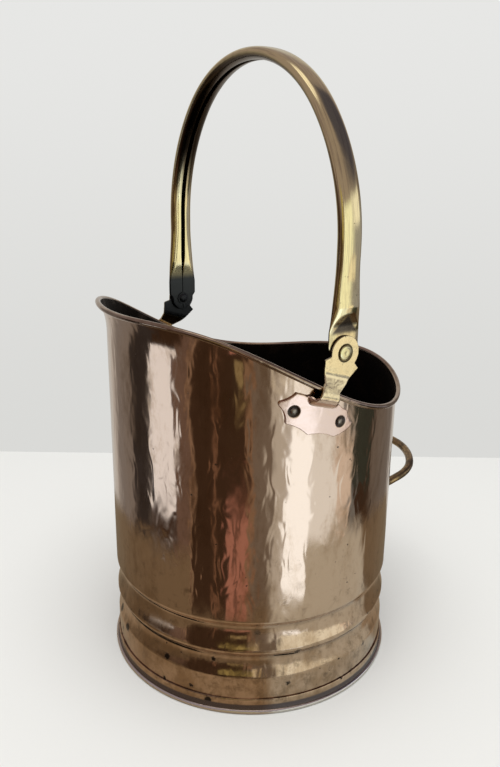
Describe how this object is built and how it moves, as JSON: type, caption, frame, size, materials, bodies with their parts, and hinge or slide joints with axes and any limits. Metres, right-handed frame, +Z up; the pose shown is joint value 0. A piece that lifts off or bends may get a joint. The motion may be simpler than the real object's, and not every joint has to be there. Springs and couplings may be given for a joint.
{
  "type": "coal scuttle",
  "caption": "Round sheet metal coal scuttle with a raised pouring lip, pressed bands, a rolled foot, a swinging bail on scalloped ears and a fixed bow handle at the back.",
  "frame": {"origin": "centre of the circle on which the foot stands, on the floor plane", "axes": "+Z up; the pouring lip points to -Y and the bow handle to +Y; the bail turns about an axis along X; +X is the side of the right ear seen from behind the lip, looking along +Y"},
  "size_m": [0.2764, 0.3331, 0.5492],
  "materials": {
    "copper_sheet": "tarnished lacquer over planished sheet",
    "aged_brass": "worn and tarnished",
    "iron_wire": "plain drawn wire"
  },
  "bodies": {
    "bucket": {"body_shell": "copper_sheet", "rim_curl": "copper_sheet", "rim_wire": "iron_wire", "base_pan": "copper_sheet", "foot_ring": "copper_sheet", "foot_wire": "iron_wire", "ear_left": "aged_brass", "ear_right": "aged_brass", "ear_rivets_left": "aged_brass", "ear_rivets_right": "aged_brass", "pivot_rivet_left": "aged_brass", "pivot_rivet_right": "aged_brass", "pivot_washer_left": "aged_brass", "pivot_washer_right": "aged_brass", "rear_handle": "aged_brass", "handle_rivets_left": "aged_brass", "handle_rivets_right": "aged_brass"},
    "bail": {"bail": "aged_brass"}
  },
  "joints": [
    {"name": "bail_hinge", "type": "hinge", "parent": "bucket", "child": "bail", "pos_m": [0, -0.003, 0.32], "axis": [1, 0, 0], "range_deg": [-122, 82]}
  ]
}
